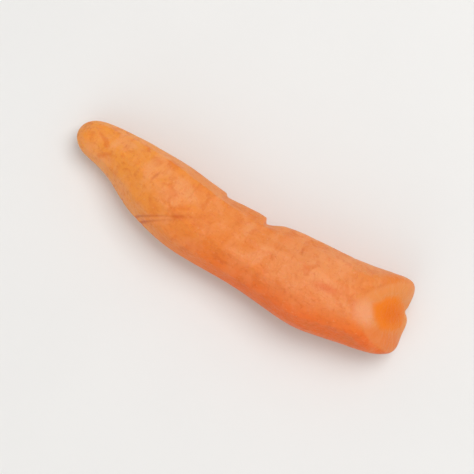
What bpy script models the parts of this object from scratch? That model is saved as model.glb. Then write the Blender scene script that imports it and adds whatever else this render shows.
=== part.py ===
"""A peeled and trimmed carrot root: one solid, lying on a peeled flat.

Metres, +Z up. +X runs from the blunt tip to the cut crown. The root bows
sideways towards -Y. Its crown ends in a rounded cut: upright low down, and
leaning back towards the top, so that its upper half faces upward.
The origin is the middle of the underside of the bounding box.
"""

import math
from typing import NamedTuple

import bmesh
import bpy
import numpy as np

# Driving dimensions.
ROOT_LENGTH = 0.1352  # tip to the furthest point of the crown cut
CROWN_RADIUS = 0.0152  # half the width just behind the crown
BOW_DEPTH = 0.0082  # how far the middle bends to the side
NOSE_LENGTH = 0.0100  # the rounded end of the tip
CROWN_SLANT = math.radians(35)  # how far the crown cut leans back at mid-height
CROWN_CURL = 0.48  # how strongly it curves back above that and upright below
FLATTENING = 0.97  # height over width of the root's round section
PEEL_DEPTH = 0.0008  # how deep the resting flat is shaved into the underside
TIP_LIFT = 0.0022  # how far the tip's underside rises off the surface
LIFT_LENGTH = 0.0340  # the stretch at the tip that rises

# The cage that Subdivision Surface rounds.
SIDES = 12
SMOOTHING_LEVELS = 2
NOSE_RINGS = 3
CROWN_FACE_RINGS = (0.70, 0.36)  # rings on the cut face, as shares of its radius

PEELED_ORANGE = (0.81, 0.26, 0.065, 1.0)  # linear
PEELED_ROUGHNESS = 0.45


class Station(NamedTuple):
    """One ring of the cage, in shares of the driving dimensions."""

    along: float  # of the root's length, from the tip
    bow: float  # of the bow's depth
    girth: float  # of the crown's radius
    slant: float = 0.0  # 1 where the ring lies along the crown cut


# Behind the nose the root swells early, narrows a little past the middle and
# swells again at the crown. The last rings turn from square to the cut's slant.
BARREL = (
    Station(0.074, 0.00, 0.490),
    Station(0.133, 0.07, 0.585),
    Station(0.192, 0.27, 0.725),
    Station(0.251, 0.51, 0.840),
    Station(0.325, 0.74, 0.890),
    Station(0.430, 0.95, 0.872),
    Station(0.533, 1.00, 0.830),
    Station(0.629, 1.00, 0.900),
    Station(0.725, 0.95, 1.025),
    Station(0.792, 0.80, 0.995, 0.20),
    Station(0.850, 0.61, 0.992, 0.50),
    Station(0.903, 0.42, 1.000, 0.80),
    Station(0.933, 0.27, 1.000, 0.92),
)
CROWN_RIM = Station(0.958, 0.14, 0.920, 1.0)


def share_kept_by_smoothing():
    """A smoothed ring's radius over its cage's: each level cuts the polygon's corners."""
    return math.prod(math.cos(math.pi / (SIDES * 2**level)) for level in range(SMOOTHING_LEVELS))


def nose_stations():
    """Rings of the rounded tip, a quarter ellipse that meets the first barrel ring."""
    base = BARREL[0]
    steps = [math.pi / 2 * (ring + 1) / (NOSE_RINGS + 1) for ring in range(NOSE_RINGS)]
    length = NOSE_LENGTH / ROOT_LENGTH
    return [
        Station(length * (1 - math.cos(turn)), base.bow, base.girth * math.sin(turn))
        for turn in steps
    ]


def centre_line(stations):
    """Each ring's centre and its heading in plan.

    A ring's height keeps its underside level, a peel's depth under the surface.
    The nose keeps the height of its base, the rim that of the ring behind it,
    and the tip lifts on a parabola.
    """
    along = np.array([station.along for station in stations]) * ROOT_LENGTH
    sideways = -np.array([station.bow for station in stations]) * BOW_DEPTH
    girth = np.array([station.girth for station in stations])
    resting_radius = np.maximum(girth, BARREL[0].girth) * CROWN_RADIUS
    lift = np.clip(1 - along / LIFT_LENGTH, 0, 1) ** 2 * TIP_LIFT
    height = resting_radius * FLATTENING - PEEL_DEPTH + lift
    height[-1] = height[-2]
    heading = np.arctan2(np.gradient(sideways), np.gradient(along))
    return np.column_stack([along, sideways, height]), heading


def ring_points(centre, heading, radius, slant):
    """The corners of one ring, moved along the root to lie on the crown's cut.

    The cut is a parabola in the height: its lean times the height, and its
    curl times the height's square.
    """
    turn = np.arange(SIDES) * 2 * math.pi / SIDES
    side = radius * np.cos(turn)
    rise = radius * FLATTENING * np.sin(turn)
    cut = math.tan(CROWN_SLANT) * rise + CROWN_CURL * rise**2 / CROWN_RADIUS
    forward = -slant * cut
    return centre + np.column_stack(
        [
            forward * math.cos(heading) - side * math.sin(heading),
            forward * math.sin(heading) + side * math.cos(heading),
            rise,
        ]
    )


def cage_rings():
    """The cage's rings from tip to crown. The first and last close it in a point."""
    stations = [*nose_stations(), *BARREL, CROWN_RIM]
    centres, headings = centre_line(stations)
    cage_radius = CROWN_RADIUS / share_kept_by_smoothing()
    rings = [
        ring_points(centre, heading, station.girth * cage_radius, station.slant)
        for station, centre, heading in zip(stations, centres, headings)
    ]
    rim_radius = CROWN_RIM.girth * cage_radius
    face = [
        ring_points(centres[-1], headings[-1], rim_radius * share, CROWN_RIM.slant)
        for share in (*CROWN_FACE_RINGS, 0)
    ]
    tip = centres[0] * (0, 1, 1)
    return [np.tile(tip, (SIDES, 1)), *rings, *face]


def carrot_mesh():
    """A sphere whose rings and poles are moved onto the cage, so that it stays closed."""
    rings = cage_rings()
    sphere = bmesh.new()
    bmesh.ops.create_uvsphere(sphere, u_segments=SIDES, v_segments=len(rings) - 1, radius=1)
    for vertex in sphere.verts:
        down = math.acos(max(-1.0, min(1.0, -vertex.co.z)))
        around = math.atan2(vertex.co.y, vertex.co.x)
        ring = round(down / math.pi * (len(rings) - 1))
        side = round(around / (2 * math.pi) * SIDES) % SIDES
        vertex.co = rings[ring][side]
    mesh = bpy.data.meshes.new("carrot_root")
    sphere.to_mesh(mesh)
    sphere.free()
    mesh.shade_smooth()
    return mesh


def flesh_material():
    """Peeled carrot flesh: orange, matt and a little moist."""
    material = bpy.data.materials.new("peeled_carrot_flesh")
    material.use_nodes = True
    shader = material.node_tree.nodes["Principled BSDF"]
    shader.inputs["Base Color"].default_value = PEELED_ORANGE
    shader.inputs["Roughness"].default_value = PEELED_ROUGHNESS
    shader.inputs["Metallic"].default_value = 0.0
    return material


def collection(name):
    """A new collection in the scene."""
    group = bpy.data.collections.new(name)
    bpy.context.scene.collection.children.link(group)
    return group


def underside_cutter(group):
    """A block whose top is the surface that the root rests on."""
    thickness = 10 * PEEL_DEPTH
    bpy.ops.mesh.primitive_cube_add(
        size=1,
        location=(ROOT_LENGTH / 2, -BOW_DEPTH, -thickness / 2),
        scale=(ROOT_LENGTH * 1.2, CROWN_RADIUS * 4, thickness),
    )
    cutter = bpy.context.object
    cutter.name = "underside_peel"
    cutter.hide_render = True
    cutter.display_type = "WIRE"
    for linked in list(cutter.users_collection):
        linked.objects.unlink(cutter)
    group.objects.link(cutter)
    return cutter


def centre_on_underside(root, anchor):
    """Move the anchor that carries everything so that the box's underside is centred."""
    graph = bpy.context.evaluated_depsgraph_get()
    shaped = root.evaluated_get(graph)
    corners = np.array([vertex.co[:] for vertex in shaped.to_mesh().vertices])
    shaped.to_mesh_clear()
    low, high = corners.min(axis=0), corners.max(axis=0)
    anchor.location = (-(low[0] + high[0]) / 2, -(low[1] + high[1]) / 2, -low[2])


def build():
    """Model the carrot in its own collection."""
    for old in list(bpy.data.objects):
        bpy.data.objects.remove(old)
    parts = collection("carrot")
    cutters = collection("cutters")

    anchor = bpy.data.objects.new("carrot_anchor", None)
    root = bpy.data.objects.new("carrot_root", carrot_mesh())
    parts.objects.link(anchor)
    parts.objects.link(root)
    root.data.materials.append(flesh_material())

    rounding = root.modifiers.new("rounding", "SUBSURF")
    rounding.levels = SMOOTHING_LEVELS
    rounding.render_levels = SMOOTHING_LEVELS

    cutter = underside_cutter(cutters)
    peel = root.modifiers.new("peeled_flat", "BOOLEAN")
    peel.operation = "DIFFERENCE"
    peel.solver = "EXACT"
    peel.object = cutter

    root.parent = anchor
    cutter.parent = anchor
    centre_on_underside(root, anchor)


build()
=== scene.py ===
"""A peeled and trimmed carrot on a pale studio floor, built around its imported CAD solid.

The root lies along +X from its blunt tip to its cut crown, bows towards -Y and
rests on a peeled flat. The carrot is one closed surface: a smooth loft through
rings, cut into facets by a peeler, and then marked with nicks, score lines and
the short cross-wise scars that every carrot carries. Lengths are in metres.
"""

import logging
import math
from dataclasses import dataclass, field
from enum import Enum

import bpy
import numpy as np
from mathutils import Matrix, Vector


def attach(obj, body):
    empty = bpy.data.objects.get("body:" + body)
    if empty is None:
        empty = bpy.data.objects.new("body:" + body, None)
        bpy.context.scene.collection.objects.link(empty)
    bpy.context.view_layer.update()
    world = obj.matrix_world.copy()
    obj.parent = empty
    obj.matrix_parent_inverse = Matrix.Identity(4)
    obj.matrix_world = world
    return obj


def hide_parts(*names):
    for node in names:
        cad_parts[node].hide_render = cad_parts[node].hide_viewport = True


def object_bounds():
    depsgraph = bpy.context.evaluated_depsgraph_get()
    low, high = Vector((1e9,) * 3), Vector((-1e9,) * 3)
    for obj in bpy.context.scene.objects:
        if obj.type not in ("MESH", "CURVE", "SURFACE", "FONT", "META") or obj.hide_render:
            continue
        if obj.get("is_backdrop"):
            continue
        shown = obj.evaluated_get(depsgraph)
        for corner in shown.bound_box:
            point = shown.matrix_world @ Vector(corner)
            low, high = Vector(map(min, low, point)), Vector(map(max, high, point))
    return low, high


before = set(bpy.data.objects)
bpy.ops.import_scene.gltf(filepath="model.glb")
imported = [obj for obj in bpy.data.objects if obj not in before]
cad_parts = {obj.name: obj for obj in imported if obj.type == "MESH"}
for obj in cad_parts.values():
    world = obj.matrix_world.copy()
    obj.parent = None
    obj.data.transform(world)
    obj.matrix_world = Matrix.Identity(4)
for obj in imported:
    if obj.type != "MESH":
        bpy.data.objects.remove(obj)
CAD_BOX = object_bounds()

MM = 0.001
TINY = 1e-12  # keeps a length of zero from dividing
SPLINE_SPAN = 4  # how many controls each place on a cubic B-spline reads
CARROT_NODE = "carrot_root"

log = logging.getLogger("carrot")

Array = np.ndarray
Colour = tuple[float, float, float, float]


class Grain(Enum):
    """Which way a pattern is drawn out: its cell's length along the root over its width."""

    LENGTHWISE = 9.0
    EVEN = 1.0
    CROSSWISE = 0.2


# ---------------------------------------------------------------- shared maths


def linear(hex_colour: str) -> Colour:
    """Turn an sRGB colour into the linear values that shaders take.

    Args:
        hex_colour: Six hex digits after a hash, red first.

    Returns:
        Linear red, green and blue, and an alpha of one.
    """
    channels = [int(hex_colour[start : start + 2], 16) / 255 for start in (1, 3, 5)]
    red, green, blue = (
        value / 12.92 if value <= 0.04045 else ((value + 0.055) / 1.055) ** 2.4
        for value in channels
    )
    return (red, green, blue, 1.0)


def ease(values: Array) -> Array:
    """Rise smoothly from 0 to 1 as the values do: three squares less two cubes."""
    held = np.clip(values, 0.0, 1.0)
    return held * held * (3.0 - 2.0 * held)


def ramp(values: Array, start: float, end: float) -> Array:
    """Rise smoothly from 0 where the values reach the start to 1 at the end."""
    return ease((values - start) / (end - start))


def bell(values: Array) -> Array:
    """A bell of height one and a half-width of about one: e to the minus the square."""
    return np.exp(-np.square(values))


def wrapped(angle: Array) -> Array:
    """The same angle, brought between minus and plus half a turn."""
    return (angle + np.pi) % (2 * np.pi) - np.pi


def spline_pieces(part: Array) -> tuple[Array, Array, Array, Array]:
    """The four pieces of a uniform cubic B-spline.

    Args:
        part: How far a place is between the second and third of its four
            nearest controls, from 0 to 1.

    Returns:
        The weights of the four controls, which add up to one.
    """
    return (
        (1 - part) ** 3 / 6,
        (3 * part**3 - 6 * part**2 + 4) / 6,
        (-3 * part**3 + 3 * part**2 + 3 * part + 1) / 6,
        part**3 / 6,
    )


def spline_weights(places: Array, count: int) -> Array:
    """Weights of a uniform cubic B-spline, one row for each place.

    A place is counted in control points. The spline has one more control
    beyond each end, and its first column stands for the one before the first.

    Args:
        places: Where to read the spline.
        count: How many controls there are, without the two extra ones.

    Returns:
        One row for each place and one column for each control.
    """
    first = np.clip(np.floor(places).astype(int), 0, count - 2)
    weights = np.zeros((len(places), count + 2))
    for offset, piece in enumerate(spline_pieces(places - first)):
        weights[np.arange(len(places)), first + offset] = piece
    return weights


def read_lattice(heights: Array, row: Array, column: Array) -> Array:
    """Smooth random heights between the points of a lattice that closes both ways.

    Each place takes its sixteen nearest heights, each weighted by the product
    of the two cubic B-spline pieces that belong to its row and its column.

    Args:
        heights: One height for each point of the lattice.
        row: The places, counted in rows.
        column: The places, counted in columns.

    Returns:
        One height for each place.
    """
    first_row, first_column = np.floor(row).astype(int), np.floor(column).astype(int)
    rows, columns = heights.shape
    total = np.zeros(row.shape)
    for down, weight in enumerate(spline_pieces(row - first_row)):
        for along, other in enumerate(spline_pieces(column - first_column)):
            picked = heights[(first_row + down) % rows, (first_column + along) % columns]
            total += weight * other * picked
    return total


def ring_quads(rings: int, sides: int) -> Array:
    """The quads between neighbouring rings of points.

    Args:
        rings: How many rings there are.
        sides: How many points each ring has.

    Returns:
        Four point numbers for each quad: two on its ring and two on the next.
    """
    ring, side = np.meshgrid(np.arange(rings - 1), np.arange(sides), indexing="ij")
    after = (side + 1) % sides
    corners = [ring * sides + side, ring * sides + after]
    corners += [(ring + 1) * sides + after, (ring + 1) * sides + side]
    return np.stack(corners, axis=2).reshape(-1, 4)


def closed_faces(rows: int, sides: int) -> list[list[int]]:
    """The faces of a grid whose first and last rows each shrink to one point.

    Args:
        rows: How many rows the grid has, with those two.
        sides: How many points each row has.

    Returns:
        The point numbers of each quad, then of the triangles at each end.
    """
    side = np.arange(sides)
    after = (side + 1) % sides
    first = np.zeros(sides, dtype=int)
    last_row = 1 + (rows - 3) * sides
    start = np.stack([first, after + 1, side + 1], axis=1)
    end = np.stack([first + last_row + sides, side + last_row, after + last_row], axis=1)
    return (ring_quads(rows - 2, sides) + 1).tolist() + start.tolist() + end.tolist()


def one_each(grid: Array) -> Array:
    """One entry a point, where the grid's first and last rows are one point each."""
    inner = grid[1:-1].reshape(-1, *grid.shape[2:])
    return np.concatenate([grid[:1, 0], inner, grid[-1:, 0]])


# ------------------------------------------------------------- the root's form


@dataclass(frozen=True)
class Station:
    """One ring of the root, in shares of the driving dimensions.

    Attributes:
        along: Distance from the tip, of the root's length.
        bow: Sideways offset, of the bow's depth.
        girth: Radius, of the crown's radius.
        slant: How far the ring is turned to the crown cut's slant.
    """

    along: float
    bow: float
    girth: float
    slant: float = 0.0


@dataclass
class Skin:
    """The root's surface as a grid: rows from tip to crown centre, columns once around.

    Attributes:
        points: Where each grid point is.
        straight: The same points with the root straightened along X.
        climb: Each point's distance up the slope of the crown's cut from its middle.
        turn: Each column's angle round the root, from +Y over the top.
        reach: Each row's distance along the surface from the tip.
        past_rim: Each row's distance along the surface past the crown's rim.
        radius: The root's radius at each row.
        tip_fade: How far from the tip's point the relief takes to fade in.
        rim_fade: How far the peeled side takes to turn into the cut face.
        sway_along: How far each wave moves a noise's places along the root.
        sway_around: How far each wave moves them round it, in radians.
    """

    points: Array
    straight: Array
    climb: Array
    turn: Array
    reach: Array
    past_rim: Array
    radius: Array
    tip_fade: float = 5.0 * MM
    rim_fade: float = 2.4 * MM
    sway_along: float = 0.9 * MM
    sway_around: float = 0.05

    @property
    def along(self) -> Array:
        """Each point's distance from the tip along the straightened root."""
        return self.straight[:, :, 0]

    @property
    def across(self) -> Array:
        """Each point's sideways distance from the straightened root's axis."""
        return self.straight[:, :, 1]

    @property
    def rise(self) -> Array:
        """Each point's height over the straightened root's axis."""
        return self.straight[:, :, 2]

    @property
    def past_tip(self) -> Array:
        """Zero at the tip's point and one a few millimetres on, as a column."""
        return ease(self.reach / self.tip_fade)[:, None]

    @property
    def face(self) -> Array:
        """One on the crown's cut face, zero on the peeled side, as a column."""
        return ease(self.past_rim / self.rim_fade + 0.5)[:, None]

    def normals(self) -> Array:
        """Outward unit normals: the way round the root crossed with the way along it.

        Returns:
            One direction for each grid point.
        """
        around = np.roll(self.points, -1, axis=1) - np.roll(self.points, 1, axis=1)
        outward = np.cross(around, np.gradient(self.points, axis=0))
        return outward / np.maximum(np.linalg.norm(outward, axis=2, keepdims=True), TINY)

    def arc(self, turn_degrees: float) -> Array:
        """Distance round the root from the line at this angle, the shorter way."""
        return wrapped(self.turn - math.radians(turn_degrees))[None, :] * self.radius[:, None]

    def ripple(self, first: tuple[int, float], second: tuple[int, float], start: float) -> Array:
        """Two sine waves that run slantwise over the surface and close round it.

        Args:
            first: How often the first wave goes round the root, and the distance
                along the root in which it advances by a radian.
            second: The same for the second wave.
            start: Where the first wave starts, in radians.

        Returns:
            The waves' sum by grid point, from -2 to 2.
        """
        turn, reach = np.meshgrid(self.turn, self.reach)
        wave = np.sin(first[0] * turn + reach / first[1] + start)
        return wave + np.sin(second[0] * turn + reach / second[1])

    def noise(self, seed: int, cell: float, grain: Grain = Grain.EVEN) -> Array:
        """Smooth random relief of unit spread that closes round the root.

        Random heights on a lattice over the surface are read at swaying places,
        so that their rows and columns don't show: each place is moved by two
        sine waves both ways.

        Args:
            seed: Which relief to draw.
            cell: The lattice's spacing round the root.
            grain: How much longer a cell is along the root than it is wide.

        Returns:
            One height for each grid point.
        """
        draw = np.random.default_rng(seed)
        length = cell * grain.value
        around = max(SPLINE_SPAN, round(2 * math.pi * float(self.radius.max()) / cell))
        heights = draw.standard_normal((int(self.reach[-1] / length) + SPLINE_SPAN, around))
        sway = self.ripple((3, 9 * MM), (7, -4 * MM), seed)
        row = (self.reach[:, None] + self.sway_along * sway) / length
        sway = self.ripple((2, -7 * MM), (1, 3 * MM), seed)
        column = (self.turn + self.sway_around * sway) / (2 * np.pi) * around
        relief = read_lattice(heights, row, column)
        return relief / relief.std()


@dataclass
class RootForm:
    """The smooth root before peeling: a loft through rings on a bowed centre line.

    The driving dimensions and the stations are the CAD solid's own. Only the
    corner that the crown's cut reaches forward on its +Y side is added, and the
    cut face has more rings.
    """

    length: float = 135.2 * MM  # tip to the furthest point of the crown's cut
    crown_radius: float = 15.2 * MM  # half the width just behind the crown
    bow_depth: float = 8.2 * MM  # how far the middle bends to the side
    nose_length: float = 10.0 * MM  # the rounded end of the tip
    crown_slant: float = math.radians(35)  # how far the cut leans back at mid-height
    crown_curl: float = 0.48  # how strongly it curves back above that and upright below
    corner_reach: float = 2.6 * MM  # how far forward the cut's +Y corner comes
    corner_inset: float = 0.75  # how far that corner moves inward, in shares of its reach
    flattening: float = 0.97  # height over width of the root's round section
    underside_dip: float = 0.8 * MM  # how far the round underside would pass the floor
    tip_lift: float = 2.2 * MM  # how far the tip's underside rises off the floor
    lift_length: float = 34.0 * MM  # the stretch at the tip that rises
    least_girth: float = 0.3  # the smallest that distances round the root take the girth to be
    nose_rings: int = 3
    face_rings: tuple[float, ...] = (0.70, 0.40, 0.16, 0.04, 0.0)  # shares of the rim's radius
    face_start: float = 0.1  # where the cut face starts, in rings past the rim's
    rows: int = 440
    sides: int = 216
    tries_a_row: int = 12  # how finely the loft is walked to space its rows evenly
    rim: Station = Station(0.958, 0.14, 0.920, 1.0)
    barrel: tuple[Station, ...] = (
        Station(0.074, 0.00, 0.490),
        Station(0.133, 0.07, 0.585),
        Station(0.192, 0.27, 0.725),
        Station(0.251, 0.51, 0.840),
        Station(0.325, 0.74, 0.890),
        Station(0.430, 0.95, 0.872),
        Station(0.533, 1.00, 0.830),
        Station(0.629, 1.00, 0.900),
        Station(0.725, 0.95, 1.025),
        Station(0.792, 0.80, 0.995, 0.20),
        Station(0.850, 0.61, 0.992, 0.50),
        Station(0.903, 0.42, 1.000, 0.80),
        Station(0.933, 0.27, 1.000, 0.92),
    )

    def stations(self) -> list[Station]:
        """The rings from nose to rim, where the nose is a quarter ellipse.

        Returns:
            The nose's rings, the barrel's and the rim.
        """
        base = self.barrel[0]
        share = self.nose_length / self.length
        turns = np.pi / 2 * np.arange(1, self.nose_rings + 1) / (self.nose_rings + 1)
        nose = [
            Station(share * (1 - math.cos(turn)), base.bow, base.girth * math.sin(turn))
            for turn in turns
        ]
        return [*nose, *self.barrel, self.rim]

    def setback(self, rise: Array) -> Array:
        """How far back the crown's cut lies at each height over the root's axis.

        It is the slant's tangent times the height, and the curl times the
        height's square over the crown's radius.

        Args:
            rise: Heights over the root's axis.

        Returns:
            Distances towards the tip.
        """
        return math.tan(self.crown_slant) * rise + self.crown_curl * rise**2 / self.crown_radius

    def centre_line(self, bowed: bool) -> tuple[Array, Array, Array, Array]:
        """Where the stations' centres lie.

        Their heights keep the underside level, a dip's depth under the floor.
        The nose keeps the height of its base and the rim that of the ring
        behind it, and the tip lifts on a parabola.

        Args:
            bowed: Whether the line bows and rises, or is straight along X.

        Returns:
            Distances from the tip, sideways places, heights and headings in plan.
        """
        stations = self.stations()
        along = np.array([station.along for station in stations]) * self.length
        girth = np.array([station.girth for station in stations])
        sideways = np.array([station.bow for station in stations]) * -self.bow_depth
        resting = np.maximum(girth, self.barrel[0].girth) * self.crown_radius
        lift = np.clip(1 - along / self.lift_length, 0, 1) ** 2 * self.tip_lift
        height = resting * self.flattening - self.underside_dip + lift
        height[-1] = height[-2]
        heading = np.arctan2(np.gradient(sideways), np.gradient(along))
        if not bowed:
            return along, sideways * 0, height * 0, heading * 0
        return along, sideways, height, heading

    def control_rings(self, turn: Array, bowed: bool) -> Array:
        """The rings that the loft is smoothed through, closed by a point at each end.

        A ring's point lies its radius times the cosine of the turn sideways of
        the centre and its radius times the sine above it. On the crown's cut it
        also moves back by the cut's setback, and eases forward and inward on
        the +Y side. The rings of the cut face share its centre and the rim's
        slant.

        Args:
            turn: The angles round the root.
            bowed: Whether the centre line bows and rises, or is straight along X.

        Returns:
            Points by ring and angle, with a mirrored ring beyond each end.
        """
        stations = self.stations()
        girth = np.array([station.girth for station in stations])
        slant = np.array([station.slant for station in stations])
        along, sideways, height, heading = self.centre_line(bowed)

        last = len(stations) - 1
        ring = np.concatenate([[0], np.arange(last + 1), [last] * len(self.face_rings)])
        share = np.concatenate([[0.0], np.ones(last + 1), self.face_rings])[:, None]
        radius = girth[ring, None] * share * self.crown_radius
        side = radius * np.cos(turn)
        rise = radius * self.flattening * np.sin(turn)
        corner = slant[ring, None] * self.corner_reach * ease(side / self.crown_radius)
        forward = corner - slant[ring, None] * self.setback(rise)
        side = side - corner * self.corner_inset
        centre = along[ring, None]
        centre[0] = 0.0
        cosine, sine = np.cos(heading)[ring, None], np.sin(heading)[ring, None]
        controls = np.stack(
            [
                centre + forward * cosine - side * sine,
                sideways[ring, None] + forward * sine + side * cosine,
                height[ring, None] + rise,
            ],
            axis=2,
        )
        mirrored = np.roll(controls[[1, -2]], len(turn) // 2, axis=1)
        return np.concatenate([mirrored[:1], controls, mirrored[1:]])

    def skin(self) -> Skin:
        """Read the loft on a grid whose rows are evenly spaced over the surface.

        Returns:
            The smooth surface, centred in the CAD solid's box and resting on its floor.
        """
        turn = np.arange(self.sides) * 2 * np.pi / self.sides
        rings = self.control_rings(turn, bowed=True)
        count = len(rings) - 2
        tries = np.linspace(0, count - 1, self.tries_a_row * self.rows)
        seam = spline_weights(tries, count) @ rings[:, self.sides // 2]
        run = np.concatenate([[0.0], np.cumsum(np.linalg.norm(np.diff(seam, axis=0), axis=1))])
        reach = np.linspace(0, run[-1], self.rows)
        places = np.interp(reach, run, tries)
        weights = spline_weights(places, count)
        points = np.einsum("rc,cst->rst", weights, rings)
        straight = np.einsum("rc,cst->rst", weights, self.control_rings(turn, bowed=False))

        stations = self.stations()
        girth = np.interp(places, range(1, len(stations) + 1), [one.girth for one in stations])
        low, high = points.min(axis=(0, 1)), points.max(axis=(0, 1))
        cad_low, cad_high = np.array(CAD_BOX[0]), np.array(CAD_BOX[1])
        shift = (cad_low + cad_high - low - high) / 2
        shift[2] = cad_low[2]
        rise = straight[:, :, 2]
        return Skin(
            points=points + shift,
            straight=straight,
            climb=np.sign(rise) * np.hypot(rise, self.setback(rise)),
            turn=turn,
            reach=reach,
            past_rim=reach - np.interp(len(stations) + self.face_start, tries, run),
            radius=np.maximum(girth, self.least_girth) * self.crown_radius,
        )


# --------------------------------------------------------------- peeler's work


@dataclass(frozen=True)
class Stroke:
    """One pass of the peeler, which leaves a long flat.

    Attributes:
        turn: The flat's angle round the root, in degrees.
        centre: Where the pass bites deepest, from the tip.
        half_length: How far the bite reaches each way before it runs out.
        bite: How deep the flat lies under the round surface.
        sway: How far the flat wanders round the root, in degrees.
        phase: Where in its wander the flat starts, in radians.
        widest_view: How far to each side the flat is followed, in radians.
    """

    turn: float
    centre: float
    half_length: float
    bite: float
    sway: float
    phase: float
    widest_view: float = 1.3

    def distance(self, skin: Skin, sway_length: float) -> Array:
        """How far from the axis the flat lies, looking out from the axis at each point.

        A flat at distance d meets a ray at angle a from its middle at d over
        the cosine of a. The bite wears out with the square of the distance
        from the stroke's centre.

        Args:
            skin: The smooth root.
            sway_length: The length of one wander of the flat round the root.

        Returns:
            Distances from the axis by grid point.
        """
        sway = self.sway * np.sin(skin.along / sway_length * 2 * np.pi + self.phase)
        away = wrapped(skin.turn[None, :] - np.radians(self.turn + sway))
        spent = ((skin.along - self.centre) / self.half_length) ** 2
        flat = skin.radius[:, None] - self.bite * (1 - spent)
        return flat / np.cos(np.clip(away, -self.widest_view, self.widest_view))


@dataclass(frozen=True)
class StrokeKind:
    """A kind of pass: the least and the most that each of its measures can be.

    Attributes:
        centre: Where it bites deepest, from the tip.
        half_length: How far it reaches each way.
        bite: How deep it cuts, in shares of the peeler's usual bite.
        sway: How far it wanders round the root, in degrees.
    """

    centre: tuple[float, float]
    half_length: tuple[float, float]
    bite: tuple[float, float]
    sway: tuple[float, float]

    def stroke(self, turn: float, usual_bite: float, draw: np.random.Generator) -> Stroke:
        """Draw one pass of this kind.

        Args:
            turn: Its angle round the root, in degrees.
            usual_bite: The peeler's usual bite.
            draw: Where its measures are drawn from.

        Returns:
            The pass.
        """
        return Stroke(
            turn=turn,
            centre=draw.uniform(*self.centre),
            half_length=draw.uniform(*self.half_length),
            bite=usual_bite * draw.uniform(*self.bite),
            sway=draw.uniform(*self.sway),
            phase=draw.uniform(0, 2 * math.pi),
        )


@dataclass
class Peeling:
    """The flats that the peeler leaves, side by side round the root."""

    flats_around: int = 11
    short_strokes: int = 20
    full: StrokeKind = StrokeKind((50 * MM, 95 * MM), (95 * MM, 150 * MM), (0.80, 1.20), (3, 9))
    short: StrokeKind = StrokeKind((12 * MM, 122 * MM), (14 * MM, 34 * MM), (0.95, 1.45), (0, 5))
    bite: float = 0.50 * MM
    stray: float = 0.22  # how far a full pass lies off its even place, in steps between passes
    edge_softness: float = 0.13 * MM
    sway_length: float = 95.0 * MM
    nose_share: float = 0.35  # how much of the flats' depth is left at the tip
    nose_fade: float = 14.0 * MM  # and how far from it they are whole
    rim_share: float = 0.30  # the same at the crown's rim
    rim_fade: float = 12.0 * MM
    seed: int = 7

    def strokes(self) -> list[Stroke]:
        """Full-length passes all round, and shorter ones that overlap them.

        Returns:
            The strokes, full-length ones first.
        """
        draw = np.random.default_rng(self.seed)
        step = 360 / self.flats_around
        full = [
            self.full.stroke(step * (index + draw.uniform(-self.stray, self.stray)), self.bite, draw)
            for index in range(self.flats_around)
        ]
        short = [
            self.short.stroke(draw.uniform(0, 360), self.bite, draw)
            for _ in range(self.short_strokes)
        ]
        return full + short

    def depth(self, skin: Skin) -> Array:
        """How far the flats cut into the round root.

        The peeled radius is the soft minimum of the flats' distances, so the
        ridges between them are slightly worn.

        Args:
            skin: The smooth root.

        Returns:
            Depth under the smooth surface, with a mean of zero.
        """
        stack = np.stack([stroke.distance(skin, self.sway_length) for stroke in self.strokes()])
        least = stack.min(axis=0)
        worn = np.exp((least - stack) / self.edge_softness).sum(axis=0)
        depth = skin.radius[:, None] - least + self.edge_softness * np.log(worn)
        depth -= depth.mean()
        nose = self.nose_share + (1 - self.nose_share) * ease(skin.along / self.nose_fade)
        rim = self.rim_share + (1 - self.rim_share) * ease(-skin.past_rim / self.rim_fade)[:, None]
        return depth * nose * rim * (1 - skin.face) * skin.past_tip


# ---------------------------------------------------------------------- marks


@dataclass(frozen=True)
class Hollow:
    """A shallow dent with soft edges, or a swelling where its depth is negative.

    Attributes:
        along: Distance from the tip.
        turn: Angle round the root, in degrees.
        length: Half its size along the root.
        width: Half its size round the root.
        depth: How deep it is.
    """

    along: float
    turn: float
    length: float
    width: float
    depth: float

    def cut(self, skin: Skin) -> Array:
        """The dent's depth: its greatest depth times a bell in the elliptic distance."""
        onward = (skin.along - self.along) / self.length
        return self.depth * bell(np.hypot(onward, skin.arc(self.turn) / self.width))


@dataclass(frozen=True)
class Nick:
    """A chip in the flesh: steep where the blade went in, and easing out behind.

    Attributes:
        along: Where the steep wall is, from the tip.
        turn: Angle round the root, in degrees.
        length: How far it takes to ease out.
        width: Half its size round the root.
        depth: How deep it is at the wall.
        wall: How far the steep wall takes to go down.
    """

    along: float
    turn: float
    length: float
    width: float
    depth: float
    wall: float = 1.2 * MM

    def cut(self, skin: Skin) -> Array:
        """The nick's depth: a steep rise, times a slower run-out, times a blunt bell round it.

        Args:
            skin: The smooth root.

        Returns:
            Depth by grid point.
        """
        onward = skin.along - self.along
        profile = ease(onward / self.wall + 0.5) * (1 - ease(onward / self.length))
        return self.depth * profile * bell((skin.arc(self.turn) / self.width) ** 2)


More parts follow.
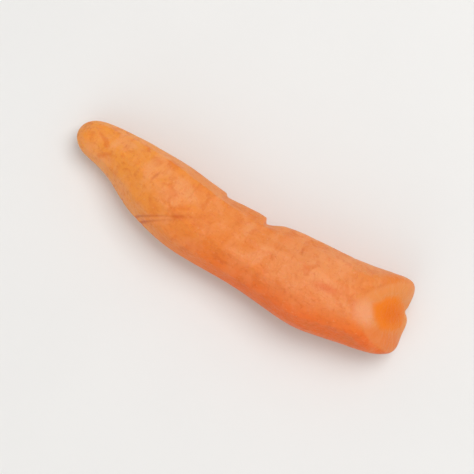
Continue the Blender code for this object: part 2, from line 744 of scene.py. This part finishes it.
@dataclass(frozen=True)
class Score:
    """A fine straight scratch on the upper side, given by its ends seen from above.

    Attributes:
        start: One end's distance from the tip and sideways place.
        end: The same for the other end, where the scratch fades.
        width: Half its width.
        depth: How deep it is at the start.
        fade: How much of its depth it has lost at the end.
        side_fade: How near the root's sides it runs out, as the sine of the turn.
    """

    start: tuple[float, float]
    end: tuple[float, float]
    width: float
    depth: float
    fade: float = 0.75
    side_fade: float = 0.1

    def cut(self, skin: Skin) -> Array:
        """The scratch's depth: a bell in the distance from its line, fading to its end.

        Args:
            skin: The smooth root.

        Returns:
            Depth by grid point.
        """
        plan = skin.points[:, :, :2] - skin.points[0, 0, :2]
        start = np.array(self.start)
        run = np.array(self.end) - start
        share = np.clip((plan - start) @ run / (run @ run), 0, 1)
        away = np.linalg.norm(plan - start - share[:, :, None] * run, axis=2)
        upper = ramp(np.sin(skin.turn), -self.side_fade, self.side_fade)
        return self.depth * bell(away / self.width) * (1 - self.fade * share) * upper


@dataclass(frozen=True)
class Scar:
    """A short cross-wise scar, left where a side root or a pore met the skin.

    Attributes:
        along: Distance from the tip.
        turn: Angle round the root, in degrees.
        half_length: Half its length round the root.
        width: Half its width along the root.
        depth: How deep it is.
        tilt: How much it leans along the root, for each unit of its length.
        bend: How far its ends curve along the root, in shares of its half-length.
    """

    along: float
    turn: float
    half_length: float
    width: float
    depth: float
    tilt: float = 0.0
    bend: float = 0.06

    def cut(self, skin: Skin) -> Array:
        """The scar's depth: a narrow bell across it, times a blunt bell along it.

        Its line leans with the distance along it and bends with that
        distance's square.

        Args:
            skin: The smooth root.

        Returns:
            Depth by grid point.
        """
        arc = skin.arc(self.turn)
        line = self.along + self.tilt * arc + self.bend * arc**2 / self.half_length
        across = (skin.along - line) / self.width
        return self.depth * bell(across) * bell((arc / self.half_length) ** 2)


@dataclass
class Marks:
    """What growth and handling left on the peeled side."""

    scar_count: int = 46
    scar_places: tuple[float, float] = (12 * MM, 116 * MM)
    scar_half_lengths: tuple[float, float] = (0.7 * MM, 2.8 * MM)
    scar_widths: tuple[float, float] = (0.42 * MM, 0.65 * MM)
    scar_depths: tuple[float, float] = (0.03 * MM, 0.12 * MM)
    scar_tilt: float = 0.25
    full_stain_depth: float = 0.26 * MM  # the depth of a thin mark whose stain is complete
    seed: int = 23
    chips: tuple[Nick, ...] = (
        Nick(56.2 * MM, 8, 8 * MM, 7 * MM, 0.9 * MM),  # the step in the +Y edge
        Nick(73.8 * MM, 6, 7.5 * MM, 6 * MM, 1.9 * MM),  # the notch beyond it
        Nick(61.5 * MM, 116, 2.6 * MM, 2.4 * MM, 0.35 * MM),
        Nick(96.0 * MM, 232, 6.0 * MM, 3.0 * MM, 0.5 * MM),
        Nick(38.0 * MM, 318, 5.0 * MM, 3.5 * MM, 0.5 * MM),
    )
    hollows: tuple[Hollow, ...] = (
        Hollow(34 * MM, 68, 3.2 * MM, 3.6 * MM, 0.36 * MM),
        Hollow(54 * MM, 88, 2.8 * MM, 3.2 * MM, 0.26 * MM),
        Hollow(69 * MM, 40, 6.0 * MM, 5.0 * MM, 0.30 * MM),
        Hollow(88 * MM, 152, 5.0 * MM, 4.0 * MM, 0.35 * MM),
        Hollow(104 * MM, 340, 5.0 * MM, 5.0 * MM, 0.40 * MM),
        Hollow(47 * MM, 215, 4.0 * MM, 4.0 * MM, 0.45 * MM),
        Hollow(70 * MM, 2, 6.0 * MM, 7.0 * MM, -1.0 * MM),  # swellings beside the notch
        Hollow(84 * MM, 2, 9.0 * MM, 8.0 * MM, -1.1 * MM),
    )
    scores: tuple[Score, ...] = (
        Score((32.0 * MM, -18.0 * MM), (48.5 * MM, -9.4 * MM), 0.42 * MM, 0.30 * MM),
        Score((35.6 * MM, -18.3 * MM), (46.5 * MM, -11.6 * MM), 0.42 * MM, 0.28 * MM),
        Score((46.0 * MM, -10.6 * MM), (58.0 * MM, -5.0 * MM), 1.20 * MM, 0.16 * MM),
    )
    plain_scars: tuple[Scar, ...] = (
        Scar(33.0 * MM, 82, 2.3 * MM, 0.55 * MM, 0.12 * MM, 0.04),
        Scar(41.5 * MM, 97, 3.0 * MM, 0.50 * MM, 0.07 * MM, -0.06),
    )

    def scars(self) -> list[Scar]:
        """The plain scars, and small ones at random all round, nose to crown.

        Returns:
            All the scars.
        """
        draw = np.random.default_rng(self.seed)
        small = [
            Scar(
                along=draw.uniform(*self.scar_places),
                turn=draw.uniform(0, 360),
                half_length=draw.uniform(*self.scar_half_lengths),
                width=draw.uniform(*self.scar_widths),
                depth=draw.uniform(*self.scar_depths),
                tilt=draw.uniform(-self.scar_tilt, self.scar_tilt),
            )
            for _ in range(self.scar_count)
        ]
        return [*self.plain_scars, *small]

    def cut(self, skin: Skin) -> tuple[Array, Array]:
        """Add up all the marks.

        Args:
            skin: The smooth root.

        Returns:
            The depth of the marks, and a stain of 0 to 1 in the thin ones.
        """
        thin = sum(mark.cut(skin) for mark in (*self.scars(), *self.scores))
        broad = sum(mark.cut(skin) for mark in (*self.chips, *self.hollows))
        side = 1 - skin.face
        return (thin + broad) * side, np.clip(thin / self.full_stain_depth, 0, 1) * side


# ------------------------------------------------------------------ cut crown


@dataclass(frozen=True)
class FaceDent:
    """A dent in the crown's end, or a swelling where its depth is negative.

    Attributes:
        across: Its sideways place from the axis.
        rise: Its height over the axis.
        half_width: Half its size sideways.
        half_height: Half its size in height.
        depth: How deep it is.
        fade: How far behind the rim it runs out.
    """

    across: float
    rise: float
    half_width: float
    half_height: float
    depth: float
    fade: float = 6.0 * MM

    def cut(self, skin: Skin) -> Array:
        """The dent's depth: a bell in the elliptic distance, only at the crown's end.

        Args:
            skin: The smooth root.

        Returns:
            Depth by grid point.
        """
        sideways = (skin.across - self.across) / self.half_width
        upward = (skin.rise - self.rise) / self.half_height
        near = ramp(skin.past_rim, -self.fade, 0.0)[:, None]
        return self.depth * bell(np.hypot(sideways, upward)) * near


@dataclass
class CutCrown:
    """The cut face at the crown, with the core near its middle and a nick low on its end."""

    core_half_width: float = 6.3 * MM
    core_half_height: float = 10.0 * MM
    core_sideways: float = -0.5 * MM
    core_upward: float = 3.2 * MM
    # The waves of the core's edge: each one's height, count and start in radians.
    core_lobes: tuple[tuple[float, int, float], ...] = ((0.05, 5, 0.6), (0.03, 9, 2.0))
    groove_depth: float = 0.20 * MM
    groove_width: float = 0.13  # in shares of the core's size
    dome_height: float = 0.25 * MM
    unevenness: float = 0.05 * MM
    uneven_cell: float = 3.0 * MM
    uneven_points: int = 11
    seed: int = 29
    dents: tuple[FaceDent, ...] = (
        FaceDent(1.8 * MM, -10.0 * MM, 1.2 * MM, 4.0 * MM, 0.8 * MM),
        FaceDent(-1.8 * MM, -9.5 * MM, 3.8 * MM, 7.0 * MM, -1.2 * MM),
    )
    ray_counts: tuple[int, ...] = (13, 23, 37)

    def core_place(self, skin: Skin) -> tuple[Array, Array]:
        """Where each point lies from the core's middle, where one is the core's edge.

        On the slope of the cut the core is an ellipse whose edge waves in two
        counts of lobes. The waves ease out towards its middle.

        Args:
            skin: The smooth root.

        Returns:
            The distance from the core's middle, and the bearing round it.
        """
        east = (skin.across - self.core_sideways) / self.core_half_width
        north = (skin.climb - self.core_upward) / self.core_half_height
        bearing = np.arctan2(north, east)
        away = np.hypot(east, north)
        waves = sum(size * np.sin(count * bearing + start) for size, count, start in self.core_lobes)
        return away / (1 + waves * ease(away)), bearing

    def rays(self, skin: Skin) -> Array:
        """Faint rays out of the core: the mean of a few cosines of the bearing.

        Args:
            skin: The smooth root.

        Returns:
            Values from 0 to 1 by grid point.
        """
        away, bearing = self.core_place(skin)
        waves = [np.cos(count * bearing + count) for count in self.ray_counts]
        return 0.5 + 0.5 * np.mean(waves, axis=0) * ease(away)

    def cut(self, skin: Skin) -> Array:
        """The face's relief: a groove round the core, a dome on it, unevenness and the dents.

        Args:
            skin: The smooth root.

        Returns:
            Depth under the smooth surface.
        """
        core = self.core_place(skin)[0]
        groove = self.groove_depth * bell((core - 1) / self.groove_width)
        dome = self.dome_height * (1 - ease(core))
        size = (self.uneven_points, self.uneven_points)
        lattice = np.random.default_rng(self.seed).standard_normal(size)
        places = skin.across / self.uneven_cell, skin.rise / self.uneven_cell
        uneven = self.unevenness * read_lattice(lattice, *places)
        dents = sum(dent.cut(skin) for dent in self.dents)
        return (groove - dome + uneven) * skin.face + dents


@dataclass(frozen=True)
class Shades:
    """Where each of the flesh's shades lies, from 0 to 1.

    A stretch, a side or a height says where a shade starts and where it is
    whole. Sides are measured towards -Y and heights over the axis, in shares of
    the root's radius where they aren't lengths. Some shades are painted light:
    the deep flank and the low face hold painted shade on the -Y side, the pale
    shoulder painted sheen on the upper side, and the rim a painted highlight.
    """

    tip_length: float = 84.5 * MM  # how far the tip's yellow reaches
    # The deep flank: partly deeper flesh, partly painted shade on the lower -Y side.
    flank_stretch: tuple[float, float] = (24 * MM, 84 * MM)  # from the tip
    flank_side: tuple[float, float] = (-0.15, 0.95)
    flank_height: tuple[float, float] = (-0.7333, -0.0667)
    # The pale shoulder: partly paler flesh, partly painted sheen on the upper side.
    shoulder_height: tuple[float, float] = (0.0714, 0.7857)
    shoulder_middle: float = 96 * MM  # from the tip
    shoulder_half_length: float = 20 * MM
    blush_place: tuple[float, float] = (103 * MM, 87)  # from the tip, and degrees round
    blush_size: tuple[float, float] = (5 * MM, 1.5 * MM)
    # The rim: partly dry flesh, partly a painted highlight, strongest in the patch above the core.
    patch_place: tuple[float, float] = (1.4 * MM, 101)  # past the rim, and degrees round
    patch_size: tuple[float, float] = (3.4 * MM, 24)  # along, and degrees round
    rim_middle: float = 0.6 * MM  # past the rim
    rim_half_width: float = 1.6 * MM
    rim_strength: float = 0.22
    # The low face: painted shade on the cut face's -Y side.
    low_side: tuple[float, float] = (3 * MM, 9 * MM)
    core_edge: tuple[float, float] = (0.66, 1.22)  # where the core starts to fade and has gone
    heart: float = 0.95  # where the core's deeper middle has gone

    def dry_rim_and_highlight(self, skin: Skin) -> Array:
        """The paler rim of the cut: a bell across it all round, and a patch above the core.

        Args:
            skin: The smooth root.

        Returns:
            The larger of the two by grid point.
        """
        # Partly dry flesh, partly a painted highlight on the rounded rim.
        past_rim = skin.past_rim[:, None]
        middle, turn = self.patch_place
        half_length, half_turn = self.patch_size
        round_patch = bell(wrapped(skin.turn - math.radians(turn)) / math.radians(half_turn))
        patch = bell((past_rim - middle) / half_length) * round_patch
        stripe = bell((past_rim - self.rim_middle) / self.rim_half_width) * self.rim_strength
        return np.maximum(patch, stripe)

    def blush(self, skin: Skin) -> Array:
        """The redder streak: a bell in the elliptic distance from its middle.

        Args:
            skin: The smooth root.

        Returns:
            Values by grid point.
        """
        along, turn = self.blush_place
        half_length, half_width = self.blush_size
        return bell(np.hypot((skin.along - along) / half_length, skin.arc(turn) / half_width))

    def values(self, skin: Skin, crown: CutCrown) -> dict[str, Array]:
        """All the shades.

        The deep flank, partly deeper flesh and partly painted shade, is the product
        of three ramps: to the side, in height and along the root. The pale shoulder,
        partly paler flesh and partly painted sheen, is a bell along the root times a
        ramp in height. The core and its heart fade with the distance from its middle.

        Args:
            skin: The smooth root.
            crown: The cut crown, whose core some of them follow.

        Returns:
            For each attribute that the flesh reads, its values by grid point.
        """
        sideways, height = -np.cos(skin.turn), np.sin(skin.turn)
        flank = ramp(sideways, *self.flank_side) * ramp(skin.along, *self.flank_stretch)
        shoulder = bell((skin.along - self.shoulder_middle) / self.shoulder_half_length)
        core = crown.core_place(skin)[0]
        face, side = skin.face, 1 - skin.face
        return {
            "tip_share": 1 - ease(skin.along / self.tip_length),
            "deep_flank_and_shade": flank * ramp(height, *self.flank_height) * side,
            "pale_shoulder_and_sheen": shoulder * ramp(height, *self.shoulder_height) * side,
            "blush": self.blush(skin),
            "cut_face": np.broadcast_to(face, skin.along.shape),
            "face_rays": crown.rays(skin) * face,
            "low_face_shade": face * ramp(-skin.across, *self.low_side),
            "core": (1 - ramp(core, *self.core_edge)) * face,
            "heart": (1 - ease(core / self.heart)) * face,
            "dry_rim_and_highlight": self.dry_rim_and_highlight(skin),
        }


# ------------------------------------------------------------- node materials


def add_node(
    tree: bpy.types.NodeTree,
    kind: str,
    inputs: dict[str | int, object] | None = None,
    output: str | int = 0,
    **settings: object,
) -> bpy.types.NodeSocket:
    """Add a shader node with its settings, values and links.

    Args:
        tree: The node tree of a material or world.
        kind: The node's type name, without its ShaderNode prefix.
        inputs: For each input, a value or the output socket to link from.
        output: Which of its outputs to give back.
        settings: The node's own properties.

    Returns:
        The chosen output socket.
    """
    node = tree.nodes.new("ShaderNode" + kind)
    for name, value in settings.items():
        setattr(node, name, value)
    for key, value in (inputs or {}).items():
        if isinstance(value, bpy.types.NodeSocket):
            tree.links.new(value, node.inputs[key])
        else:
            node.inputs[key].default_value = value
    return node.outputs[output]


@dataclass(frozen=True)
class Pattern:
    """A noise laid over the straightened root.

    Attributes:
        cell: The noise's scale round the root.
        grain: How far it is drawn out along the root.
        detail: How many finer octaves it has.
        offset: Moves the noise, so that two of one size differ.
        distortion: How far its own lines are bent.
    """

    cell: float
    grain: Grain = Grain.EVEN
    detail: float = 2.0
    offset: float = 0.0
    distortion: float = 0.6

    def socket(self, tree: bpy.types.NodeTree, place: bpy.types.NodeSocket) -> bpy.types.NodeSocket:
        """Add the noise's nodes. Its lines are distorted a little, so that none is straight.

        Args:
            tree: The material's node tree.
            place: The straightened root's coordinates.

        Returns:
            The noise, from 0 to 1 with most of it near a half.
        """
        scale = (1 / (self.cell * self.grain.value), 1 / self.cell, 1 / self.cell)
        location = (self.offset,) * 3
        stretched = {"Vector": place, "Scale": scale, "Location": location}
        vector = add_node(tree, "Mapping", stretched)
        settings = {"Vector": vector, "Scale": 1.0, "Detail": self.detail}
        settings["Distortion"] = self.distortion
        return add_node(tree, "TexNoise", settings)


@dataclass(frozen=True)
class Tint:
    """One colour laid over those before it, where its source is strong.

    Attributes:
        colour: The colour, as sRGB hex.
        source: A noise, or the name of one of the mesh's attributes.
        low: The source's value where the tint starts.
        high: The source's value where the tint is at its strongest.
        most: How much it covers there, from 0 to 1.
    """

    colour: str
    source: Pattern | str
    low: float
    high: float
    most: float

    def lay(
        self, tree: bpy.types.NodeTree, place: bpy.types.NodeSocket, under: bpy.types.NodeSocket
    ) -> bpy.types.NodeSocket:
        """Mix the tint over what lies under it.

        Args:
            tree: The material's node tree.
            place: The straightened root's coordinates.
            under: The colour so far.

        Returns:
            The colour with this tint on it.
        """
        if isinstance(self.source, Pattern):
            strength = self.source.socket(tree, place)
        else:
            strength = add_node(tree, "Attribute", output="Fac", attribute_name=self.source)
        span = {"Value": strength, 1: self.low, 2: self.high, 3: 0.0, 4: self.most}
        amount = add_node(tree, "MapRange", span, interpolation_type="SMOOTHSTEP")
        mixed = {0: amount, 6: under, 7: linear(self.colour)}
        return add_node(tree, "Mix", mixed, output=2, data_type="RGBA")


@dataclass(frozen=True)
class RawCarrot:
    """Raw carrot flesh, peeled with a blade along the root and cut across the crown.

    Peeled flesh is matt with a little moisture left. It goes paler where it
    dries, yellower towards the tip, and light sinks a little way into it. Its
    colours also hold painted shade on the -Y side, and painted sheen, glints and
    highlights on the upper side and at the crown's rim.
    """

    name: str = "raw_carrot_flesh_peeled"
    flesh: str = "#E98536"
    # The tints lie over each other in this order. Flesh fibres are about 0.3 mm apart and
    # pores 0.2 mm wide. Both are drawn coarser than they are, at 0.9 to 1.5 mm, to show.
    tints: tuple[Tint, ...] = (
        Tint("#F49C40", "tip_share", 0.0, 1.0, 0.9),
        # Partly paler flesh, partly painted sheen on the upper side near the crown.
        Tint("#F4A878", "pale_shoulder_and_sheen", 0.0, 1.0, 0.36),
        Tint("#F4A670", Pattern(9 * MM, Grain.EVEN, 3.0), 0.44, 0.68, 0.48),
        Tint("#F0A56E", Pattern(4 * MM, Grain.LENGTHWISE, 2.0, 3.0), 0.45, 0.75, 0.20),
        # Deep flank: partly deeper flesh, partly painted shade on the lower -Y side.
        Tint("#F0701E", "deep_flank_and_shade", 0.0, 1.0, 0.78),
        Tint("#EA5A10", "deep_flank_and_shade", 0.70, 1.0, 0.34),
        Tint("#F4A670", Pattern(6 * MM, Grain.EVEN, 3.0, 9.0), 0.50, 0.72, 0.20),
        Tint("#DE6A20", Pattern(5 * MM, Grain.EVEN, 4.0, 7.0), 0.50, 0.72, 0.50),
        Tint("#DD6C26", Pattern(0.9 * MM, Grain.LENGTHWISE, 2.0), 0.50, 0.80, 0.12),
        Tint("#D9661F", Pattern(5 * MM, Grain.CROSSWISE, 3.0), 0.56, 0.76, 0.24),
        Tint("#D9601E", Pattern(1.5 * MM, Grain.EVEN, 3.0, 5.0), 0.52, 0.74, 0.36),
        # Pale specks: painted glints.
        Tint("#F5B586", Pattern(0.9 * MM, Grain.EVEN, 1.0), 0.62, 0.82, 0.28),
        Tint("#E2602C", "blush", 0.0, 1.0, 0.50),
        Tint("#CC5414", "stain", 0.0, 1.0, 0.60),
        Tint("#EF9148", "cut_face", 0.0, 1.0, 1.0),
        # Painted shade on the cut face's -Y side.
        Tint("#E87A34", "low_face_shade", 0.0, 1.0, 0.80),
        Tint("#F4A566", "face_rays", 0.35, 1.0, 0.25),
        # Partly dry flesh, partly a painted highlight on the crown's rim.
        Tint("#F5A67A", "dry_rim_and_highlight", 0.0, 1.0, 0.72),
        Tint("#F38014", "core", 0.0, 1.0, 1.0),
        Tint("#EC7006", "heart", 0.0, 1.0, 0.80),
    )
    # Bump, with each pattern's depth in millimetres.
    relief: tuple[tuple[Pattern, float], ...] = (
        (Pattern(0.9 * MM, Grain.LENGTHWISE, 2.0), 0.10),
        (Pattern(5 * MM, Grain.CROSSWISE, 3.0), 0.30),
        (Pattern(1.0 * MM, Grain.EVEN, 2.0), 0.40),
    )
    moisture: Pattern = Pattern(9 * MM, Grain.EVEN, 3.0)
    moisture_span: tuple[float, float] = (0.3, 0.75)
    roughness: tuple[float, float] = (0.34, 0.50)  # where it is moist, and where it is dry
    ior: float = 1.36
    gloss: float = 0.35
    glow: float = 0.45  # how much of the light sinks in
    glow_depth: float = 1.6 * MM
    glow_spread: tuple[float, float, float] = (1.0, 0.36, 0.12)  # red goes furthest

    def material(self) -> bpy.types.Material:
        """The node material for the whole root: tints over the flesh, then relief.

        Returns:
            The material.
        """
        material = bpy.data.materials.new(self.name)
        material.use_nodes = True
        tree = material.node_tree
        shader = tree.nodes["Principled BSDF"]
        place = add_node(tree, "Attribute", output="Vector", attribute_name="root_place")
        bottom = {0: 0.0, 6: linear(self.flesh), 7: linear(self.flesh)}
        tone = add_node(tree, "Mix", bottom, output=2, data_type="RGBA")
        for tint in self.tints:
            tone = tint.lay(tree, place, tone)
        tree.links.new(tone, shader.inputs["Base Color"])

        height = 0.0
        for pattern, depth in self.relief:
            terms = {0: pattern.socket(tree, place), 1: depth, 2: height}
            height = add_node(tree, "Math", terms, operation="MULTIPLY_ADD")
        bump = add_node(tree, "Bump", {"Height": height, "Strength": 1.0, "Distance": MM})
        tree.links.new(bump, shader.inputs["Normal"])

        (low, high), (moist, dry) = self.moisture_span, self.roughness
        span = {"Value": self.moisture.socket(tree, place), 1: low, 2: high, 3: moist, 4: dry}
        tree.links.new(add_node(tree, "MapRange", span), shader.inputs["Roughness"])
        shader.inputs["IOR"].default_value = self.ior
        shader.inputs["Specular IOR Level"].default_value = self.gloss
        shader.inputs["Subsurface Weight"].default_value = self.glow
        shader.inputs["Subsurface Radius"].default_value = self.glow_spread
        shader.inputs["Subsurface Scale"].default_value = self.glow_depth
        return material


@dataclass(frozen=True)
class StudioPaper:
    """Matt white background paper. A barely visible mottle keeps it from looking empty."""

    name: str = "matt_background_paper"
    light: str = "#EDECEA"
    dark: str = "#E9E8E6"
    roughness: float = 0.85
    gloss: float = 0.2
    mottle: float = 60.0 * MM

    def material(self) -> bpy.types.Material:
        """The paper's node material.

        Returns:
            The material.
        """
        material = bpy.data.materials.new(self.name)
        material.use_nodes = True
        tree = material.node_tree
        shader = tree.nodes["Principled BSDF"]
        place = add_node(tree, "TexCoord", output="Object")
        cloud = add_node(tree, "TexNoise", {"Vector": place, "Scale": 1 / self.mottle})
        mixed = {0: cloud, 6: linear(self.light), 7: linear(self.dark)}
        tone = add_node(tree, "Mix", mixed, output=2, data_type="RGBA")
        tree.links.new(tone, shader.inputs["Base Color"])
        shader.inputs["Roughness"].default_value = self.roughness
        shader.inputs["Specular IOR Level"].default_value = self.gloss
        return material


# ----------------------------------------------------------------- the carrot


@dataclass(frozen=True)
class Growth:
    """One kind of unevenness that the root grew with.

    Attributes:
        spread: How far it goes up and down.
        seed: Which random relief to draw.
        cell: Its scale round the root.
        grain: Which way it is drawn out.
    """

    spread: float
    seed: int
    cell: float
    grain: Grain = Grain.EVEN

    def depth(self, skin: Skin) -> Array:
        """Random relief of this kind over the whole root."""
        return self.spread * skin.noise(self.seed, self.cell, self.grain)


@dataclass
class Carrot:
    """The finished root: smooth form, peeler's flats, marks and cut crown."""

    form: RootForm = field(default_factory=RootForm)
    peeling: Peeling = field(default_factory=Peeling)
    marks: Marks = field(default_factory=Marks)
    crown: CutCrown = field(default_factory=CutCrown)
    growths: tuple[Growth, ...] = (
        Growth(0.17 * MM, 3, 14 * MM),  # broad lumps
        Growth(0.06 * MM, 5, 5 * MM),  # small lumps
        Growth(0.012 * MM, 11, 1.8 * MM, Grain.LENGTHWISE),  # fibres
        Growth(0.020 * MM, 17, 8.0 * MM, Grain.CROSSWISE),  # wrinkles
    )
    shades: Shades = Shades()
    finish: RawCarrot = RawCarrot()
    name: str = "peeled_carrot"

    def relief(self, skin: Skin) -> tuple[Array, Array]:
        """The depth of everything under the smooth form.

        Args:
            skin: The smooth root.

        Returns:
            The depth, and the stain of the thin marks.
        """
        cuts, stain = self.marks.cut(skin)
        grown = sum(growth.depth(skin) for growth in self.growths)
        grown = grown * (1 - skin.face) * skin.past_tip
        return self.peeling.depth(skin) + grown + cuts + self.crown.cut(skin), stain

    def surface(self) -> tuple[Skin, dict[str, Array]]:
        """The detailed surface and the values that its material reads.

        Each point moves inward along its normal by the relief's depth. What
        then lies under the floor is raised to it, which makes the resting flat.

        Returns:
            The surface, and one value a point for each attribute.
        """
        skin = self.form.skin()
        depth, stain = self.relief(skin)
        values = self.shades.values(skin, self.crown) | {"stain": stain}
        normals = skin.normals()
        for end in (0, -1):
            normals[end] = normals[end].mean(axis=0)
            depth[end] = depth[end].mean()
        skin.points -= normals * depth[:, :, None]
        skin.points[:, :, 2] = np.maximum(skin.points[:, :, 2], CAD_BOX[0][2])
        return skin, values

    def build(self) -> bpy.types.Object:
        """Make the mesh, closed by a point at the tip and one in the crown's middle.

        Returns:
            The carrot, riding on the CAD body, with the node's own CAD part hidden.
        """
        skin, values = self.surface()
        mesh = bpy.data.meshes.new(self.name)
        mesh.from_pydata(one_each(skin.points).tolist(), [], closed_faces(*skin.along.shape))
        mesh.shade_smooth()
        for name, grid in values.items():
            layer = mesh.attributes.new(name, "FLOAT", "POINT")
            layer.data.foreach_set("value", one_each(grid).astype(np.float32))
        layer = mesh.attributes.new("root_place", "FLOAT_VECTOR", "POINT")
        layer.data.foreach_set("vector", one_each(skin.straight).astype(np.float32).ravel())
        mesh.materials.append(self.finish.material())

        carrot = bpy.data.objects.new(self.name, mesh)
        bpy.context.scene.collection.objects.link(carrot)
        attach(carrot, "root")
        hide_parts(CARROT_NODE)
        return carrot


# ----------------------------------------------------------------- the studio


@dataclass(frozen=True)
class Softbox:
    """A square softbox that points at the carrot.

    Attributes:
        name: The light's name.
        across: How far it stands to the view's right.
        upward: How far it stands towards the view's top.
        height: How high it hangs.
        size: The length of its sides.
        power: Its power in watts.
    """

    name: str
    across: float
    upward: float
    height: float
    size: float
    power: float


@dataclass
class Studio:
    """A pale floor that curves up into a wall all round, soft lights and the camera."""

    paper: StudioPaper = StudioPaper()
    key: Softbox = Softbox("key_softbox", 0.30, 0.22, 0.92, 0.6, 5.1)
    fill: Softbox = Softbox("low_fill_softbox", -0.40, -0.60, 0.50, 0.8, 1.3)
    surround: str = "#FFFFFF"
    surround_strength: float = 0.55
    floor_radius: float = 1.0
    floor_rings: int = 10
    floor_sides: int = 96
    wall_radius: float = 0.5
    wall_rings: int = 24
    wall_height: float = 0.9
    floor_gap: float = 0.1 * MM
    view_turn: float = math.radians(29.9)
    lean: float = math.radians(4.0)
    lens: float = 110.0
    frame_width: float = 0.165

    def right(self) -> Vector:
        """The view's rightward direction: the root points right and down in it."""
        return Vector((math.cos(self.view_turn), math.sin(self.view_turn), 0))

    def up(self) -> Vector:
        """The view's upward direction, level with the floor."""
        return Vector((-math.sin(self.view_turn), math.cos(self.view_turn), 0))

    def build_floor(self) -> bpy.types.Object:
        """A bowl: its profile runs level, turns up on a quarter circle and ends upright.

        Each point is the profile's radius turned about Z, and its height. One
        face of many sides fills the middle.

        Returns:
            The floor, which isn't part of the carrot.
        """
        bend = np.linspace(0, np.pi / 2, self.wall_rings)
        level = np.linspace(0, self.floor_radius, self.floor_rings + 2)[1:-1]
        radius = np.concatenate([level, self.floor_radius + self.wall_radius * np.sin(bend)])
        height = np.concatenate([level * 0, self.wall_radius * (1 - np.cos(bend))])
        radius = np.append(radius, radius[-1])
        height = np.append(height, self.wall_height) - self.floor_gap
        turn = np.arange(self.floor_sides) * 2 * np.pi / self.floor_sides
        upright = np.repeat(height[:, None], self.floor_sides, axis=1)
        level_x = radius[:, None] * np.cos(turn)
        level_y = radius[:, None] * np.sin(turn)
        points = np.stack([level_x, level_y, upright], axis=2).reshape(-1, 3)
        upward = ring_quads(len(radius), self.floor_sides)[:, (0, 3, 2, 1)]
        mesh = bpy.data.meshes.new("floor")
        mesh.from_pydata(points.tolist(), [], upward.tolist() + [list(range(self.floor_sides))])
        mesh.shade_smooth()
        mesh.materials.append(self.paper.material())
        floor = bpy.data.objects.new("floor", mesh)
        bpy.context.scene.collection.objects.link(floor)
        floor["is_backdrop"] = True
        return floor

    def add_softbox(self, box: Softbox) -> bpy.types.Object:
        """Hang a softbox and turn it towards the carrot.

        Args:
            box: Its place, size and power.

        Returns:
            The light.
        """
        lamp = bpy.data.lights.new(box.name, "AREA")
        lamp.shape = "SQUARE"
        lamp.size = box.size
        lamp.energy = box.power
        light = bpy.data.objects.new(box.name, lamp)
        bpy.context.scene.collection.objects.link(light)
        place = self.right() * box.across + self.up() * box.upward
        light.location = place + Vector((0, 0, box.height))
        light.rotation_euler = light.location.to_track_quat("Z", "Y").to_euler()
        return light

    def light(self) -> None:
        """A large key from above, a weak fill from the view's lower left, a white surround."""
        self.add_softbox(self.key)
        self.add_softbox(self.fill)
        world = bpy.data.worlds.new("studio_surround")
        bpy.context.scene.world = world
        world.use_nodes = True
        background = world.node_tree.nodes["Background"]
        background.inputs["Color"].default_value = linear(self.surround)
        background.inputs["Strength"].default_value = self.surround_strength
        bpy.context.scene.view_settings.view_transform = "Standard"

    def place_camera(self) -> bpy.types.Object:
        """Look straight down, leaning a little from the view's lower side.

        The distance follows from the lens and the width that the frame spans.

        Returns:
            The camera.
        """
        low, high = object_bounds()
        target = (low + high) / 2
        back = Vector((0, 0, math.cos(self.lean))) - self.up() * math.sin(self.lean)
        data = bpy.data.cameras.new("camera")
        data.lens = self.lens
        camera = bpy.data.objects.new("camera", data)
        bpy.context.scene.collection.objects.link(camera)
        distance = self.frame_width * data.lens / data.sensor_width
        turn = Matrix((self.right(), back.cross(self.right()), back)).transposed()
        camera.matrix_world = Matrix.LocRotScale(target + back * distance, turn, None)
        bpy.context.scene.camera = camera
        return camera


def main() -> None:
    """Build the carrot and its studio."""
    logging.basicConfig(level=logging.INFO, format="%(name)s: %(message)s")
    carrot = Carrot().build()
    studio = Studio()
    for piece in (carrot, studio.build_floor()):
        points, faces = len(piece.data.vertices), len(piece.data.polygons)
        log.info("%s: %d points, %d faces", piece.name, points, faces)
    studio.light()
    studio.place_camera()


if __name__ == "__main__":
    main()
